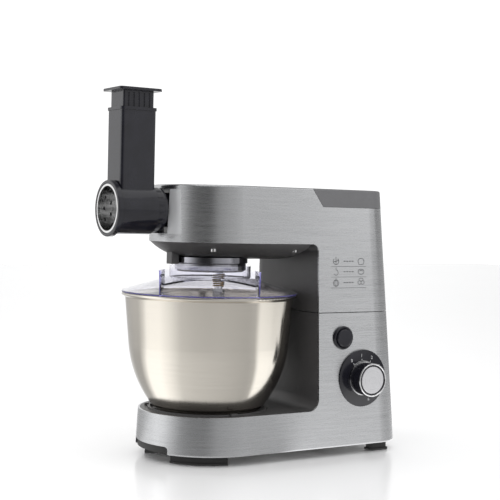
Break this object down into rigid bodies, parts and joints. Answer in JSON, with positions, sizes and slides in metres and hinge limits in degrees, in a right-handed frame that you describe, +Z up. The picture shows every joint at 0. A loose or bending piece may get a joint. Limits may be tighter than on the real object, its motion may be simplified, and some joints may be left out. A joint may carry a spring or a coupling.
{
  "type": "kitchen machine",
  "caption": "Tilt-head planetary kitchen machine with steel bowl, clear splash lid, speed dial, tilt button and a front slicer attachment with hopper and pusher.",
  "frame": {"origin": "on the table, under the middle of the machine's overall box", "axes": "+Z up, +X from the slicer to the rear column, -Y is the side with the controls"},
  "size_m": [0.4286, 0.24, 0.49],
  "materials": {
    "brushed_shell": "fine horizontal brushed metallic grey lacquer",
    "dark_plastic": "satin dark grey",
    "gloss_black": "polished black",
    "bowl_steel": "brushed round the bowl",
    "bright_steel": "bright",
    "dark_chrome": "smoked chrome",
    "chrome_trim": "polished",
    "silver_cap": "satin",
    "clear_lid": "clear, polished",
    "foot_rubber": "matt",
    "cast_alloy": "cast and tumbled",
    "bush_bronze": "sintered",
    "gear_nylon": "moulded",
    "motor_iron": "laminated",
    "board_green": "solder mask"
  },
  "bodies": {
    "base": {"base_shell": "brushed_shell", "base_deck": "dark_plastic", "bottom_plate": "dark_plastic", "rubber_feet": "foot_rubber", "base_screws": "bright_steel", "bowl_seat": "dark_plastic", "column_cap": "dark_plastic", "rear_vent_panel": "dark_plastic", "cord_inlet": "foot_rubber", "button_bezel": "gloss_black", "dial_bezel": "gloss_black", "button_spring": "bright_steel", "speed_switch": "gear_nylon", "control_board": "board_green", "base_hinge_bracket": "cast_alloy", "hinge_pin": "bright_steel"},
    "head": {"head_shell": "brushed_shell", "rear_top_cover": "dark_plastic", "head_liner": "dark_plastic", "head_floor": "dark_plastic", "latch_catch": "gear_nylon", "underside_tray": "dark_plastic", "tray_screws": "bright_steel", "lid_catch": "dark_plastic", "hub_insert": "gloss_black", "gearbox_housing": "cast_alloy", "main_bearings": "bush_bronze", "front_bearing": "bush_bronze", "ring_gear": "gear_nylon", "motor_stator": "motor_iron", "drive_belt": "foot_rubber", "head_hinge_bracket": "cast_alloy"},
    "tilt_button": {"tilt_button": "gloss_black", "latch_slide": "gear_nylon"},
    "speed_knob": {"knob_body": "gloss_black", "knob_ring": "chrome_trim", "knob_cap": "silver_cap", "switch_shaft": "bright_steel"},
    "planet_hub": {"planet_carrier": "dark_chrome", "main_shaft": "bright_steel", "large_pulley": "gear_nylon", "crown_gear": "bright_steel"},
    "mixing_tool": {"planet_gear": "gear_nylon", "tool_shaft": "bright_steel", "tool_pin": "bright_steel", "flat_beater": "cast_alloy"},
    "motor": {"motor_rotor": "motor_iron", "motor_fan": "gear_nylon", "motor_pulley": "bright_steel"},
    "front_output": {"output_spindle": "bright_steel", "bevel_pinion": "bright_steel"},
    "slicer": {"slicer_housing": "gloss_black", "slicer_front_ring": "gloss_black"},
    "locking_collar": {"locking_collar": "gloss_black"},
    "slicer_drum": {"slicer_drum": "bright_steel", "drum_shaft": "bright_steel"},
    "pusher": {"pusher": "gloss_black"},
    "bowl": {"bowl": "bowl_steel", "bowl_foot_ring": "bowl_steel"},
    "lid": {"splash_lid": "clear_lid"}
  },
  "joints": [
    {"name": "head_tilt", "type": "hinge", "parent": "base", "child": "head", "pos_m": [0.20372, 0, 0.1973], "axis": [0, 1, 0], "range_deg": [0, 35]},
    {"name": "tilt_button_press", "type": "slide", "parent": "base", "child": "tilt_button", "axis": [0, 1, 0], "range_m": [0, 0.0035], "stiffness_N_per_m": 600},
    {"name": "speed_knob_turn", "type": "hinge", "parent": "base", "child": "speed_knob", "pos_m": [0.13672, -0.11, 0.1056], "axis": [0, 1, 0], "range_deg": [-40, 230]},
    {"name": "hub_spin", "type": "hinge", "parent": "head", "child": "planet_hub", "pos_m": [-0.05738, 0, 0.26], "axis": [0, 0, 1], "continuous": true},
    {"name": "tool_spin", "type": "hinge", "parent": "planet_hub", "child": "mixing_tool", "pos_m": [-0.05738, -0.024, 0.253], "axis": [0, 0, 1], "continuous": true},
    {"name": "motor_spin", "type": "hinge", "parent": "head", "child": "motor", "pos_m": [0.12762, 0, 0.253], "axis": [0, 0, 1], "continuous": true},
    {"name": "output_spin", "type": "hinge", "parent": "head", "child": "front_output", "pos_m": [-0.10738, 0, 0.333], "axis": [1, 0, 0], "continuous": true},
    {"name": "slicer_pull", "type": "slide", "parent": "head", "child": "slicer", "axis": [-1, 0, 0], "range_m": [0, 0.06]},
    {"name": "collar_twist", "type": "hinge", "parent": "slicer", "child": "locking_collar", "pos_m": [-0.14738, 0, 0.333], "axis": [1, 0, 0], "range_deg": [0, 30]},
    {"name": "drum_spin", "type": "hinge", "parent": "slicer", "child": "slicer_drum", "pos_m": [-0.17738, 0, 0.333], "axis": [1, 0, 0], "continuous": true},
    {"name": "pusher_slide", "type": "slide", "parent": "slicer", "child": "pusher", "axis": [0, 0, 1], "range_m": [-0.018, 0.09]},
    {"name": "bowl_twist", "type": "hinge", "parent": "base", "child": "bowl", "pos_m": [-0.05738, 0, 0.103], "axis": [0, 0, 1], "range_deg": [0, 25]},
    {"name": "lid_twist", "type": "hinge", "parent": "head", "child": "lid", "pos_m": [-0.05738, 0, 0.233], "axis": [0, 0, 1], "range_deg": [0, 25]}
  ],
  "couplings": [
    {"joint": "tool_spin", "follows": "hub_spin", "ratio": -3},
    {"joint": "motor_spin", "follows": "hub_spin", "ratio": 6},
    {"joint": "output_spin", "follows": "hub_spin", "ratio": -1},
    {"joint": "drum_spin", "follows": "hub_spin", "ratio": -1}
  ]
}
